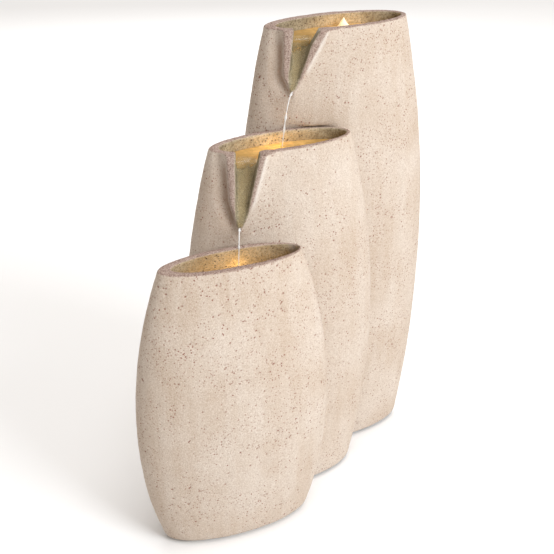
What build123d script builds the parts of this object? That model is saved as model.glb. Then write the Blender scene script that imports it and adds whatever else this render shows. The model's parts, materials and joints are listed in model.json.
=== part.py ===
from build123d import *

import os
from dataclasses import dataclass
from math import asin, cos, radians, sin, tan

# Three-tier tabletop fountain: oval cast vases that step down from the back right to the front left.
# Millimetres, +Z up, origin on the table at the middle of the whole object's plan, -Y towards the viewer.


@dataclass
class Vase:
    """An oval cast vase: half width and half depth at the base, the belly and the rim."""

    height: float
    x: float
    y: float
    base: tuple
    belly: tuple
    rim: tuple
    belly_z: float
    wall: float
    lean: float


@dataclass
class Spout:
    """A V-shaped channel cut through a beak on the wall, in offsets across and below the rim."""

    beak: list
    flare: list
    channel: list
    proud_top: float
    proud_tip: float
    drop: float


@dataclass
class Lamp:
    """A small submersible lamp: its axis and the height of the surface that its head stands on."""

    name: str
    x: float
    y: float
    seat_z: float
    stem_length: float


# Vases. The opening's centre leans a little to +X of the vase's own centre.
tall = Vase(450, 70, 53, (83, 33), (100, 42), (71, 29), 214, 8.5, 3)
middle = Vase(362, -6, 4, (76, 36), (96, 39), (68, 27), 169, 8, 3)
front = Vase(284, -77, -53, (72, 28), (93, 42), (65.5, 22.5), 131, 7.5, 5)
foot_height = 2.0
foot_radius = 7.0
bottom_round = 5.0
bond_gap = 0.3
saddle_wall = 8.0
floor_thickness = 12.0

# Spouts. Each faces 22 degrees to the left of straight ahead, around a point on the front wall.
spout_turn = 22.0
spout_x = -45.0
spout_y = -20.0
weir_drop = 12.0
weir_depth = -6.0
flare_depth = -6.0
tall_spout = Spout(
    beak=[(-15, 0), (24, 0), (10, -26), (-7, -58), (-15.5, -40)],
    flare=[(-25, 0), (38, 0), (23, -36), (-9, -84), (-26, -48)],
    channel=[(-5, 2), (17.5, 2), (9, -12), (-5, -51), (-9, -53), (-10, -44)],
    proud_top=6.5,
    proud_tip=13.0,
    drop=54,
)
middle_spout = Spout(
    beak=[(-14, 0), (21, 0), (10, -40), (-3, -70), (-11.5, -42)],
    flare=[(-24, 0), (34, 0), (23, -50), (-4, -96), (-22, -52)],
    channel=[(-5, 2), (15, 2), (3, -55), (-1, -64), (-4.5, -64), (-5.7, -54)],
    proud_top=6.0,
    proud_tip=13.5,
    drop=65,
)

# Basins, base covers, their screws, and the feet.
basin_plate = 6.0
tall_basin_z = 385.0
middle_basin_z = 300.0
basin_ledge = 62.0
plate_gap = 0.2
cover_thickness = 4.0
lug_height = 16.0
lug_inset = 22.0
screw_inset = 11.0
screw_radius = 1.6
screw_head_radius = 3.2
screw_head_height = 1.6
screw_length = 11.0
foot_places = [(-127, -53), (-27, -53), (-42, 8), (34, 4), (36, 62), (112, 53)]

# Pump, lying on the front vase's floor with its axis along X. Positions along the axis are from its rear end.
pump_x = -97.0
pump_y = -53.0
pump_z = 30.0
pump_radius = 12.0
motor_length = 20.0
volute_length = 8.0
face_length = 2.5
cap_length = 7.0
pump_wall = 1.6
well_radius = 4.2
well_wall = 1.2
rotor_radius = 3.8
shaft_radius = 1.0
running_clearance = 0.05
chamber_radius = 9.6
impeller_radius = 8.4
blade_count = 6
eye_radius = 5.5
nozzle_radius = 2.9
nozzle_bore = 2.2
nozzle_offset = 6.0
nozzle_top = 54.0
knob_radius = 7.0
knob_stem = 1.4
cup_radius = 3.4

# Hose, leads and the passages that they run through, each passage as the hose's X and Z.
hose_radius = 4.0
hose_bore = 3.0
hose_bend = 24.0
lead_bend = 12.0
lead_radius = 1.75
lead_step = 7.0
hose_to_lead = 11.0
fit_gap = 0.15
passage_radius = 7.0
front_passage = (-38.0, 230.0)
middle_passage = (22.0, 265.0)

# Standpipe in the tall basin.
standpipe_x = 46.0
standpipe_y = 60.0
standpipe_radius = 5.0
standpipe_bore = 3.4
standpipe_top = 428.0
barb_length = 11.0
flange_radius = 9.0
flange_thickness = 2.5
gasket_thickness = 1.5
nut_height = 6.0

# Lamps, the front lamp's bracket and the splash tray.
lamp_radius = 6.0
lamp_head = 12.0
lamp_wall = 1.2
lens_height = 5.0
lens_edge = 1.5
stem_radius = 3.5
stem_length = 34.0
basin_lamp_rise = 20.0
bracket_thickness = 3.0
bracket_half_width = 10.0
tray_z = 250.0
tray_thickness = 3.0
tray_half_width = 56.0
tray_half_depth = 13.5
ledge_inset = 50.0
lamps = [
    Lamp("tall", 84, 66, tall_basin_z + basin_plate + basin_lamp_rise, stem_length),
    Lamp("middle", -4, 17, middle_basin_z + basin_plate + basin_lamp_rise, stem_length),
    Lamp("front", -65, -40, tray_z - 4, 12),
]

# Junction box on the tall base cover, and the gland where the supply cord enters.
box_x = 101.0
box_y = 53.0
box_length = 44.0
box_width = 24.0
box_height = 15.0
box_lid = 3.0
box_wall = 1.6
lead_entries = [box_x - 14, box_x - 6, box_x + 2, box_x + 10]
gland_z = 15.0
gland_radius = 6.0
gland_bore = 2.75
gland_seat_y = 83.0
gland_inner_y = 69.0


def half_axes(vase, z, grow):
    """Half width and half depth of the vase's outer oval at height z, grown outward by grow."""
    if z < vase.belly_z:
        share = ((vase.belly_z - z) / vase.belly_z) ** 2.2
        end = vase.base
    else:
        share = ((z - vase.belly_z) / (vase.height - vase.belly_z)) ** 2
        end = vase.rim
    width = vase.belly[0] - (vase.belly[0] - end[0]) * share + grow
    depth = vase.belly[1] - (vase.belly[1] - end[1]) * share + grow
    return width, depth


def oval_body(vase, grow, bottom, top, lean=0.0):
    """The vase's outer form grown by grow, between two heights, as a smooth loft of ovals."""
    if bottom < vase.belly_z < top:
        lower = [bottom + (vase.belly_z - bottom) * i / 3 for i in range(3)]
        upper = [vase.belly_z + (top - vase.belly_z) * i / 4 for i in range(5)]
        heights = lower + upper
    else:
        heights = [bottom + (top - bottom) * i / 2 for i in range(3)]
    with BuildPart() as body:
        for z in heights:
            with BuildSketch(Plane((vase.x + lean, vase.y, z))):
                Ellipse(*half_axes(vase, z, grow))
        loft()
    return body.part


def outer_form(vase):
    """The vase's outer form, with its bottom edge rounded over."""
    with BuildPart() as form:
        add(oval_body(vase, 0, foot_height, vase.height))
        fillet(form.edges().sort_by(Axis.Z)[0], bottom_round)
    return form.part


def cavity_slice(vase, gap, bottom, top):
    """A plate that fills the vase's cavity between two heights, less a gap all round."""
    return oval_body(vase, -vase.wall - gap, bottom, top, vase.lean)


def spout_planes(vase):
    """The plane across a spout, seen from outside, and the plane of its side view."""
    turn = radians(spout_turn)
    out = Vector(-sin(turn), -cos(turn), 0)
    across = Vector(cos(turn), -sin(turn), 0)
    origin = (vase.x + spout_x, vase.y + spout_y, vase.height)
    return Plane(origin, x_dir=across, z_dir=out), Plane(origin, x_dir=out, z_dir=-across)


def beak_body(vase, spout):
    """The beak around a channel: a flat sloping front that flares back into the wall."""
    face = spout_planes(vase)[0]
    slope = (spout.proud_tip - spout.proud_top) / spout.drop
    nose = Plane(
        face.origin + face.z_dir * spout.proud_top,
        x_dir=face.x_dir,
        z_dir=face.z_dir + Vector(0, 0, slope),
    )
    with BuildPart() as beak:
        with BuildSketch(face.offset(flare_depth)):
            Polygon(*spout.flare, align=None)
        with BuildSketch(nose):
            Polygon(*spout.beak, align=None)
        loft(ruled=True)
    return beak.part


def channel_body(vase, spout):
    """What the channel removes: a V in front view, above a chute that slopes out from the weir."""
    face, side = spout_planes(vase)
    fall = (spout.drop - weir_drop) / (spout.proud_tip - weir_depth)
    reach = 40.0
    chute = [
        (-25, 5),
        (-25, -weir_drop),
        (weir_depth, -weir_drop),
        (reach, -weir_drop - fall * (reach - weir_depth)),
        (reach, 5),
    ]
    with BuildPart() as channel:
        with BuildSketch(face):
            Polygon(*spout.channel, align=None)
        extrude(amount=reach, both=True)
        with BuildSketch(side):
            Polygon(*chute, align=None)
        extrude(amount=reach, both=True, mode=Mode.INTERSECT)
    return channel.part


def passage_tool(passage, lead_count, y_from, y_to, clearance):
    """An upright slot along Y for the hose, with its leads stacked below it."""
    depth = hose_to_lead + lead_step * (lead_count - 1)
    centre_z = passage[1] - depth / 2
    with BuildPart() as slot:
        with BuildSketch(Plane((passage[0], y_from, centre_z), x_dir=(1, 0, 0), z_dir=(0, 1, 0))):
            SlotCenterToCenter(depth, 2 * (passage_radius - clearance), rotation=90)
        extrude(amount=y_to - y_from)
    return slot.part


def corner_radii(points, passage_bend):
    """Arc radii for a route: 0.45 of the shorter run, divided by the tangent of half the turn.

    Sharp turns are next to a passage or a lamp, so their radius is no more than passage_bend.
    """
    radii = []
    for before, here, after in zip(points, points[1:], points[2:]):
        run_in = Vector(*here) - Vector(*before)
        run_out = Vector(*after) - Vector(*here)
        half_turn = radians(run_in.get_angle(run_out)) / 2
        radius = 0.45 * min(run_in.length, run_out.length) / tan(half_turn)
        radii.append(min(radius, passage_bend) if half_turn > radians(35) else radius)
    return radii


def tube(name, points, radius, passage_bend, bore=0.0):
    """A hose or lead along straight runs joined by tangent arcs."""
    radii = corner_radii(points, passage_bend)
    print(name, "radii", [round(r, 1) for r in radii])
    with BuildPart() as run:
        with BuildLine() as route:
            FilletPolyline(*points, radius=radii)
        start = Plane(points[0], z_dir=Vector(*points[1]) - Vector(*points[0]))
        with BuildSketch(start):
            Circle(radius)
            if bore:
                Circle(bore, mode=Mode.SUBTRACT)
        sweep(path=route.wire())
    print(name, "length", round(route.wire().length, 1))
    return run.part


def disc(x, y, z, radius, height):
    """A plain upright cylinder standing at z, for cutting or joining."""
    with BuildPart() as body:
        with BuildSketch(Plane((x, y, z))):
            Circle(radius)
        extrude(amount=height)
    return body.part


def save(part, name):
    """Labels a finished piece and writes it as its own STEP file."""
    part.label = name
    export_step(part, f"parts/{name}.step")


def lug_centres(vase):
    """Where the base cover's screws go, at the two ends of the cavity."""
    reach = half_axes(vase, foot_height, -vase.wall)[0] - screw_inset
    return [(vase.x + vase.lean + side * reach, vase.y) for side in (-1, 1)]


def end_lugs(vase, bottom, top, inset):
    """Solid lugs that fill the two ends of the cavity between two heights."""
    with BuildPart() as lugs:
        add(cavity_slice(vase, -0.5, bottom, top))
        with BuildSketch(Plane((vase.x + vase.lean, vase.y, bottom))):
            Rectangle(2 * inset, 200)
        extrude(amount=top - bottom, mode=Mode.SUBTRACT)
    return lugs.part


def stem_hole(lamp, bottom, top):
    """The hole that a lamp's stem passes through."""
    return disc(lamp.x, lamp.y, bottom, stem_radius + fit_gap, top - bottom)


def across_pump(distance):
    """A plane across the pump's axis, at a distance from its rear end."""
    return Plane((pump_x + distance, pump_y, pump_z), x_dir=(0, 1, 0), z_dir=(1, 0, 0))


def across_back(y):
    """A plane across the gland's axis, facing the back."""
    return Plane((box_x, y, gland_z), x_dir=(1, 0, 0), z_dir=(0, 1, 0))


os.makedirs("parts", exist_ok=True)

# Outer forms, and the tools that shape one vase around the next.
front_form = outer_form(front)
middle_form = outer_form(middle)
tall_form = outer_form(tall)
front_saddle = oval_body(front, saddle_wall, foot_height - 1, front.height + saddle_wall)
middle_saddle = oval_body(middle, saddle_wall, foot_height - 1, middle.height + saddle_wall)
front_pocket = oval_body(front, bond_gap, foot_height - 1, front.height + bond_gap)
middle_pocket = oval_body(middle, bond_gap, foot_height - 1, middle.height + bond_gap)
front_tunnel = passage_tool(front_passage, 2, -40, -5, 0)
middle_tunnel = passage_tool(middle_passage, 3, 20, 60, 0)
lug_bottom = foot_height + cover_thickness + plate_gap
box_bottom = lug_bottom
lug_top = foot_height + lug_height
pilot_depth = screw_length + 2

# Front vase: the reservoir. It is closed at the bottom, with two ledges for the splash tray.
with BuildPart() as front_vase:
    add(front_form)
    add(cavity_slice(front, 0, foot_height + floor_thickness, front.height), mode=Mode.SUBTRACT)
    add(end_lugs(front, tray_z - 6, tray_z - plate_gap, ledge_inset))
    add(front_tunnel, mode=Mode.SUBTRACT)
save(front_vase.part, "front_vase")

# Middle vase: a hollow casting with a saddle around the front vase and a spout at its rim.
with BuildPart() as middle_core:
    add(cavity_slice(middle, 0, foot_height, middle.height))
    add(front_saddle, mode=Mode.SUBTRACT)
with BuildPart() as middle_vase:
    add(middle_form)
    add(beak_body(middle, middle_spout))
    add(middle_core.part, mode=Mode.SUBTRACT)
    add(end_lugs(middle, lug_bottom, lug_top, middle.base[0] - middle.wall - lug_inset))
    add(end_lugs(middle, middle_basin_z - 7, middle_basin_z - plate_gap, basin_ledge))
    add(front_pocket, mode=Mode.SUBTRACT)
    add(channel_body(middle, middle_spout), mode=Mode.SUBTRACT)
    add(front_tunnel, mode=Mode.SUBTRACT)
    add(middle_tunnel, mode=Mode.SUBTRACT)
    for x, y in lug_centres(middle):
        add(disc(x, y, foot_height, screw_radius + 0.05, pilot_depth), mode=Mode.SUBTRACT)
save(middle_vase.part, "middle_vase")

# Tall vase: a hollow casting with a saddle around the middle vase and a spout at its rim.
with BuildPart() as gland_seat:
    with BuildSketch(across_back(gland_seat_y)):
        Circle(flange_radius)
    extrude(amount=20)
    with BuildSketch(across_back(box_y)):
        Circle(gland_radius + fit_gap)
    extrude(amount=40)
with BuildPart() as tall_core:
    add(cavity_slice(tall, 0, foot_height, tall.height))
    add(middle_saddle, mode=Mode.SUBTRACT)
with BuildPart() as tall_vase:
    add(tall_form)
    add(beak_body(tall, tall_spout))
    add(tall_core.part, mode=Mode.SUBTRACT)
    add(end_lugs(tall, lug_bottom, lug_top, tall.base[0] - tall.wall - lug_inset))
    add(end_lugs(tall, tall_basin_z - 7, tall_basin_z - plate_gap, basin_ledge))
    add(middle_pocket, mode=Mode.SUBTRACT)
    add(channel_body(tall, tall_spout), mode=Mode.SUBTRACT)
    add(middle_tunnel, mode=Mode.SUBTRACT)
    add(gland_seat.part, mode=Mode.SUBTRACT)
    for x, y in lug_centres(tall):
        add(disc(x, y, foot_height, screw_radius + 0.05, pilot_depth), mode=Mode.SUBTRACT)
save(tall_vase.part, "tall_vase")

# Basin floors: sealed plates that hold the water near the two upper rims.
with BuildPart() as tall_basin_floor:
    add(cavity_slice(tall, plate_gap, tall_basin_z, tall_basin_z + basin_plate))
    add(stem_hole(lamps[0], tall_basin_z, tall_basin_z + basin_plate), mode=Mode.SUBTRACT)
    add(
        disc(standpipe_x, standpipe_y, tall_basin_z, standpipe_radius + fit_gap, basin_plate),
        mode=Mode.SUBTRACT,
    )
save(tall_basin_floor.part, "tall_basin_floor")

with BuildPart() as middle_basin_floor:
    add(cavity_slice(middle, plate_gap, middle_basin_z, middle_basin_z + basin_plate))
    add(stem_hole(lamps[1], middle_basin_z, middle_basin_z + basin_plate), mode=Mode.SUBTRACT)
save(middle_basin_floor.part, "middle_basin_floor")

# Base covers: plates screwed up into the lugs of the two hollow vases.
for vase, saddle_of, name in ((tall, middle, "tall_base_cover"), (middle, front, "middle_base_cover")):
    top = foot_height + cover_thickness
    neighbour = oval_body(saddle_of, saddle_wall + plate_gap, foot_height - 1, top + 1)
    with BuildPart() as base_cover:
        add(cavity_slice(vase, plate_gap, foot_height, top))
        add(neighbour, mode=Mode.SUBTRACT)
        for x, y in lug_centres(vase):
            add(disc(x, y, foot_height, screw_radius + 0.2, cover_thickness), mode=Mode.SUBTRACT)
            add(
                disc(x, y, foot_height, screw_head_radius + 0.2, screw_head_height + 0.1),
                mode=Mode.SUBTRACT,
            )
    save(base_cover.part, name)

with BuildPart() as cover_screws:
    for x, y in lug_centres(tall) + lug_centres(middle):
        with BuildSketch(Plane((x, y, foot_height))):
            Circle(screw_head_radius)
            Rectangle(4, 0.8, mode=Mode.SUBTRACT)
            Rectangle(0.8, 4, mode=Mode.SUBTRACT)
        extrude(amount=screw_head_height / 2)
        with BuildSketch(Plane((x, y, foot_height + screw_head_height / 2))):
            Circle(screw_head_radius)
        extrude(amount=screw_head_height / 2)
        with BuildSketch(Plane((x, y, foot_height + screw_head_height))):
            Circle(screw_radius)
        extrude(amount=screw_length)
save(cover_screws.part, "cover_screws")

with BuildPart() as rubber_feet:
    for x, y in foot_places:
        with BuildSketch(Plane((x, y, 0))):
            Circle(foot_radius)
        extrude(amount=foot_height)
    chamfer(rubber_feet.edges().group_by(Axis.Z)[0], 0.5)
save(rubber_feet.part, "rubber_feet")

# Pump housing: a tube around the rotor's well, standing on a flat foot, open at the rear for the stator.
with BuildPart() as pump_housing:
    with BuildSketch(across_pump(0)):
        Circle(pump_radius)
        with Locations((0, -pump_radius / 2 - 3.5)):
            Rectangle(16, 7)
    extrude(amount=motor_length)
    with BuildSketch(across_pump(0)):
        Circle(pump_radius - pump_wall)
        Circle(well_radius + well_wall, mode=Mode.SUBTRACT)
    extrude(amount=motor_length - pump_wall, mode=Mode.SUBTRACT)
    with BuildSketch(across_pump(pump_wall + 1.5)):
        Circle(well_radius)
    extrude(amount=motor_length, mode=Mode.SUBTRACT)
    with BuildSketch(across_pump(pump_wall)):
        Circle(shaft_radius)
    extrude(amount=2, mode=Mode.SUBTRACT)
    with BuildSketch(Plane((pump_x + 5, pump_y, pump_z + pump_radius - 3))):
        Circle(lead_radius + fit_gap)
    extrude(amount=6, mode=Mode.SUBTRACT)
save(pump_housing.part, "pump_housing")

with BuildPart() as pump_end_cap:
    with BuildSketch(across_pump(-1.5)):
        Circle(pump_radius)
    extrude(amount=1.5)
    with BuildSketch(across_pump(0)):
        Circle(pump_radius - pump_wall - 0.1)
        Circle(well_radius + well_wall + 0.1, mode=Mode.SUBTRACT)
    extrude(amount=1.0)
    chamfer(pump_end_cap.edges().group_by(Axis.X)[0], 0.6)
save(pump_end_cap.part, "pump_end_cap")

# Stator: a ring with six poles that stand inward around the well.
with BuildPart() as pump_stator:
    with BuildSketch(across_pump(6.9)):
        Circle(pump_radius - pump_wall - 0.1)
        Circle(pump_radius - pump_wall - 1.9, mode=Mode.SUBTRACT)
        with PolarLocations((well_radius + well_wall + pump_radius - pump_wall) / 2 - 0.5, 6):
            Rectangle(3.8, 2.4)
    extrude(amount=10)
save(pump_stator.part, "pump_stator")

with BuildPart() as rotor_shaft:
    with BuildSketch(across_pump(pump_wall)):
        Circle(shaft_radius)
    extrude(amount=motor_length + volute_length + face_length - pump_wall - 0.8)
save(rotor_shaft.part, "rotor_shaft")

# Rotor: a magnet that runs in the well, and an impeller with straight blades in the volute.
with BuildPart() as impeller_rotor:
    with BuildSketch(across_pump(4)):
        Circle(rotor_radius)
    extrude(amount=motor_length - 3.5)
    with BuildSketch(across_pump(motor_length + 0.5)):
        Circle(impeller_radius)
    extrude(amount=1.2)
    with BuildSketch(across_pump(motor_length + 1.7)):
        Circle(2.4)
        with PolarLocations(impeller_radius / 2 + 0.8, blade_count):
            Rectangle(impeller_radius - 2, 1)
    extrude(amount=4)
    with BuildSketch(across_pump(0)):
        Circle(shaft_radius + running_clearance)
    extrude(amount=motor_length + volute_length, mode=Mode.SUBTRACT)
save(impeller_rotor.part, "impeller_rotor")

# Volute: the ring around the impeller, with the nozzle rising from one side of its chamber.
nozzle_x = pump_x + motor_length + volute_length / 2
nozzle_y = pump_y + nozzle_offset
with BuildPart() as pump_volute:
    with BuildSketch(across_pump(motor_length)):
        Circle(pump_radius)
    extrude(amount=volute_length)
    add(disc(nozzle_x, nozzle_y, pump_z, nozzle_radius, nozzle_top - pump_z))
    with BuildSketch(across_pump(motor_length)):
        Circle(chamber_radius)
    extrude(amount=volute_length, mode=Mode.SUBTRACT)
    add(disc(nozzle_x, nozzle_y, pump_z, nozzle_bore, nozzle_top - pump_z), mode=Mode.SUBTRACT)
save(pump_volute.part, "pump_volute")

# Front face: a plate with the inlet eye, and three ribs that hold the shaft's front end.
with BuildPart() as pump_face:
    with BuildSketch(across_pump(motor_length + volute_length)):
        Circle(pump_radius)
        Circle(eye_radius, mode=Mode.SUBTRACT)
        Circle(2)
        with PolarLocations(eye_radius / 2 + 1, 3, start_angle=90):
            Rectangle(eye_radius, 1)
    extrude(amount=face_length)
    with BuildSketch(across_pump(motor_length + volute_length)):
        Circle(shaft_radius)
    extrude(amount=face_length - 0.8, mode=Mode.SUBTRACT)
save(pump_face.part, "pump_face")

# Intake cap: a cup over the sponge, with two curved inlet windows that the knob's shutter covers.
cap_start = motor_length + volute_length + face_length
with BuildPart() as intake_cap:
    with BuildSketch(across_pump(cap_start)):
        Circle(pump_radius)
    extrude(amount=cap_length)
    with BuildSketch(across_pump(cap_start)):
        Circle(pump_radius - pump_wall)
    extrude(amount=cap_length - pump_wall, mode=Mode.SUBTRACT)
    with BuildSketch(across_pump(cap_start)):
        Circle(knob_stem + running_clearance)
        SlotArc(CenterArc((0, 0), 4.6, 20, 50), 2.6)
        SlotArc(CenterArc((0, 0), 4.6, 200, 50), 2.6)
    extrude(amount=cap_length, mode=Mode.SUBTRACT)
    with BuildSketch(across_pump(cap_start + 2)):
        with PolarLocations(pump_radius, 8, start_angle=22.5):
            Rectangle(5, 1.6)
    extrude(amount=3, mode=Mode.SUBTRACT)
save(intake_cap.part, "intake_cap")

with BuildPart() as intake_sponge:
    with BuildSketch(across_pump(cap_start + 0.3)):
        Circle(pump_radius - pump_wall - 0.2)
        Circle(knob_stem + 0.8, mode=Mode.SUBTRACT)
    extrude(amount=4.2)
save(intake_sponge.part, "intake_sponge")

# Flow knob: a shutter with two windows, a stem through the cap and a finger bar across its face.
knob_start = cap_start + cap_length + 0.3
with BuildPart() as flow_knob:
    with BuildSketch(across_pump(knob_start)):
        Circle(knob_radius)
        SlotArc(CenterArc((0, 0), 4.6, 20, 50), 2.6, mode=Mode.SUBTRACT)
        SlotArc(CenterArc((0, 0), 4.6, 200, 50), 2.6, mode=Mode.SUBTRACT)
    extrude(amount=1.2)
    with BuildSketch(across_pump(knob_start + 1.2)):
        with Locations(Rotation(0, 0, 135)):
            RectangleRounded(2 * knob_radius - 1, 2.2, 0.8)
    extrude(amount=2.4)
    with BuildSketch(across_pump(knob_start - pump_wall - 1)):
        Circle(knob_stem)
    extrude(amount=pump_wall + 1)
save(flow_knob.part, "flow_knob")

with BuildPart() as suction_cups:
    for x in (pump_x + 5, pump_x + 15):
        for y in (pump_y - 4.4, pump_y + 4.4):
            with BuildSketch(Plane((x, y, foot_height + floor_thickness))):
                Circle(cup_radius)
            with BuildSketch(Plane((x, y, pump_z - pump_radius - 1))):
                Circle(1.8)
            loft()
save(suction_cups.part, "suction_cups")

# Riser hose: up the reservoir, through both passages and up to the standpipe.
hose_route = [
    (nozzle_x, nozzle_y, 43),
    (nozzle_x, nozzle_y, 85),
    (-62, -52, 128),
    (-45, -56, 172),
    (-38, -55, 230),
    (-38, 9, 230),
    (22, 9, 265),
    (22, 72, 265),
    (30, 72.5, 322),
    (standpipe_x, standpipe_y, 350),
    (standpipe_x, standpipe_y, 372),
]
save(tube("riser_hose", hose_route, hose_radius, hose_bend, hose_bore), "riser_hose")

with BuildPart() as hose_clamps:
    for x, y, z in ((nozzle_x, nozzle_y, 46), (standpipe_x, standpipe_y, 364)):
        with BuildSketch(Plane((x, y, z))):
            Circle(hose_radius + 1.1)
            with Locations((hose_radius + 2, 0)):
                Rectangle(4, 3)
            Circle(hose_radius + fit_gap, mode=Mode.SUBTRACT)
        extrude(amount=5)
save(hose_clamps.part, "hose_clamps")

# Leads: from the front lamp, the pump and the middle lamp through the passages, then down to the box.
lead_end = box_bottom + box_height - 5
front_lead_route = [
    (-65, -40, 234),
    (-65, -40.5, 211),
    (-38, -41, 219),
    (-38, 12, 219),
    (-8, 12.5, 238),
    (22, 14, 254),
    (22, 74, 254),
    (26, 75, 200),
    (40, 74, 150),
    (60, 71, 106),
    (84, 64, 66),
    (lead_entries[2], box_y, 46),
    (lead_entries[2], box_y, lead_end),
]
pump_lead_route = [
    (pump_x + 5, pump_y, pump_z + pump_radius),
    (pump_x + 6, pump_y + 3, 86),
    (-78, -42, 126),
    (-56, -40, 160),
    (-40, -46, 183),
    (-38, -44, 212),
    (-38, 6, 212),
    (-8, 6.5, 231),
    (22, 8, 247),
    (22, 67, 247),
    (25, 67.5, 198),
    (38, 67, 150),
    (56, 65, 106),
    (76, 60, 68),
    (lead_entries[1], box_y, 46),
    (lead_entries[1], box_y, lead_end),
]
middle_lead_route = [
    (-4, 17, 292),
    (-5, 17.5, 251),
    (22, 19, 240),
    (22, 60, 240),
    (25, 60.5, 196),
    (36, 60, 150),
    (52, 59, 106),
    (68, 56.5, 68),
    (lead_entries[0], box_y, 46),
    (lead_entries[0], box_y, lead_end),
]
tall_lead_route = [
    (84, 66, 377),
    (85, 65, 330),
    (92, 62, 280),
    (99, 60, 225),
    (104, 58, 170),
    (107, 56, 117),
    (109, 55, 72),
    (lead_entries[3], box_y, 44),
    (lead_entries[3], box_y, lead_end),
]
for name, route in (
    ("front_lamp_lead", front_lead_route),
    ("pump_lead", pump_lead_route),
    ("middle_lamp_lead", middle_lead_route),
    ("tall_lamp_lead", tall_lead_route),
):
    save(tube(name, route, lead_radius, lead_bend), name)

# Passage grommets: rubber plugs with a bore for the hose and one for each lead.
for name, passage, lead_count, y_from, y_to in (
    ("front_passage_grommet", front_passage, 2, -29, -14.5),
    ("middle_passage_grommet", middle_passage, 3, 33, 47.5),
):
    with BuildPart() as grommet:
        add(passage_tool(passage, lead_count, y_from, y_to, fit_gap))
        bores = [(0, hose_radius)]
        bores += [(hose_to_lead + lead_step * i, lead_radius) for i in range(lead_count)]
        for depth, radius in bores:
            plane = Plane((passage[0], y_from, passage[1] - depth), x_dir=(1, 0, 0), z_dir=(0, 1, 0))
            with BuildSketch(plane):
                Circle(radius + fit_gap)
            extrude(amount=y_to - y_from, mode=Mode.SUBTRACT)
    save(grommet.part, name)

# Standpipe: a threaded tube through the tall basin's floor, with a barb for the hose below.
flange_z = tall_basin_z + basin_plate + gasket_thickness
barb_top = tall_basin_z - nut_height - 5
with BuildPart() as standpipe:
    add(disc(standpipe_x, standpipe_y, barb_top, standpipe_radius, standpipe_top - barb_top))
    add(disc(standpipe_x, standpipe_y, flange_z, flange_radius, flange_thickness))
    add(disc(standpipe_x, standpipe_y, barb_top - barb_length, nozzle_radius, barb_length))
    add(
        disc(standpipe_x, standpipe_y, barb_top + 2, standpipe_bore, standpipe_top - barb_top),
        mode=Mode.SUBTRACT,
    )
    add(
        disc(standpipe_x, standpipe_y, barb_top - barb_length, nozzle_bore, barb_length + 2),
        mode=Mode.SUBTRACT,
    )
save(standpipe.part, "standpipe")

with BuildPart() as standpipe_gasket:
    with BuildSketch(Plane((standpipe_x, standpipe_y, tall_basin_z + basin_plate))):
        Circle(flange_radius - 0.5)
        Circle(standpipe_radius + fit_gap, mode=Mode.SUBTRACT)
    extrude(amount=gasket_thickness)
save(standpipe_gasket.part, "standpipe_gasket")

with BuildPart() as standpipe_nut:
    with BuildSketch(Plane((standpipe_x, standpipe_y, tall_basin_z - nut_height))):
        RegularPolygon(flange_radius, 6)
        Circle(standpipe_radius + fit_gap, mode=Mode.SUBTRACT)
    extrude(amount=nut_height)
save(standpipe_nut.part, "standpipe_nut")

# Diffuser: a cap on the standpipe with side slots that calm the rising water.
with BuildPart() as diffuser_cap:
    add(disc(standpipe_x, standpipe_y, standpipe_top - 8, standpipe_radius + 2, 14))
    add(disc(standpipe_x, standpipe_y, standpipe_top - 8, standpipe_radius + fit_gap, 8), mode=Mode.SUBTRACT)
    add(disc(standpipe_x, standpipe_y, standpipe_top, standpipe_bore, 4), mode=Mode.SUBTRACT)
    with BuildSketch(Plane((standpipe_x, standpipe_y, standpipe_top + 0.8))):
        Rectangle(20, 2)
        Rectangle(2, 20)
    extrude(amount=2.4, mode=Mode.SUBTRACT)
    fillet(diffuser_cap.edges().group_by(Axis.Z)[-1], 1)
save(diffuser_cap.part, "diffuser_cap")

# Lamps: a hollow head on a threaded stem, with a light board under a domed lens, and a nut below.
dome_rise = lens_height - lens_edge
dome_radius = (dome_rise**2 + lamp_radius**2) / (2 * dome_rise)
dome_angle = asin(lamp_radius / dome_radius) / 2
dome_middle = (dome_radius * sin(dome_angle), lens_height - dome_radius * (1 - cos(dome_angle)))
for lamp in lamps:
    lens_z = lamp.seat_z + lamp_head
    with BuildPart() as lamp_body:
        add(disc(lamp.x, lamp.y, lamp.seat_z, lamp_radius, lamp_head))
        add(disc(lamp.x, lamp.y, lamp.seat_z - lamp.stem_length, stem_radius, lamp.stem_length))
        add(
            disc(lamp.x, lamp.y, lamp.seat_z + 3, lamp_radius - lamp_wall, lamp_head - 3),
            mode=Mode.SUBTRACT,
        )
    save(lamp_body.part, f"{lamp.name}_lamp_body")

    with BuildPart() as lamp_board:
        add(disc(lamp.x, lamp.y, lens_z - 3.5, lamp_radius - lamp_wall - 0.1, 1.2))
        with BuildSketch(Plane((lamp.x, lamp.y, lens_z - 2.3))):
            Rectangle(3.5, 3.5)
        extrude(amount=0.8)
    save(lamp_board.part, f"{lamp.name}_lamp_board")

    with BuildPart() as lamp_lens:
        with BuildSketch(Plane((lamp.x, lamp.y, lens_z), x_dir=(1, 0, 0), z_dir=(0, -1, 0))):
            with BuildLine():
                Polyline((0, lens_height), (0, 0), (lamp_radius, 0), (lamp_radius, lens_edge))
                ThreePointArc((lamp_radius, lens_edge), dome_middle, (0, lens_height))
            make_face()
        revolve(axis=Axis((lamp.x, lamp.y, 0), (0, 0, 1)))
    save(lamp_lens.part, f"{lamp.name}_lamp_lens")

bracket_z = lamps[2].seat_z - bracket_thickness
with BuildPart() as lamp_nuts:
    for lamp, under in zip(lamps, (tall_basin_z, middle_basin_z, bracket_z)):
        with BuildSketch(Plane((lamp.x, lamp.y, under - 5))):
            RegularPolygon(lamp_radius, 6)
            Circle(stem_radius + fit_gap, mode=Mode.SUBTRACT)
        extrude(amount=5)
save(lamp_nuts.part, "lamp_nuts")

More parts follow.
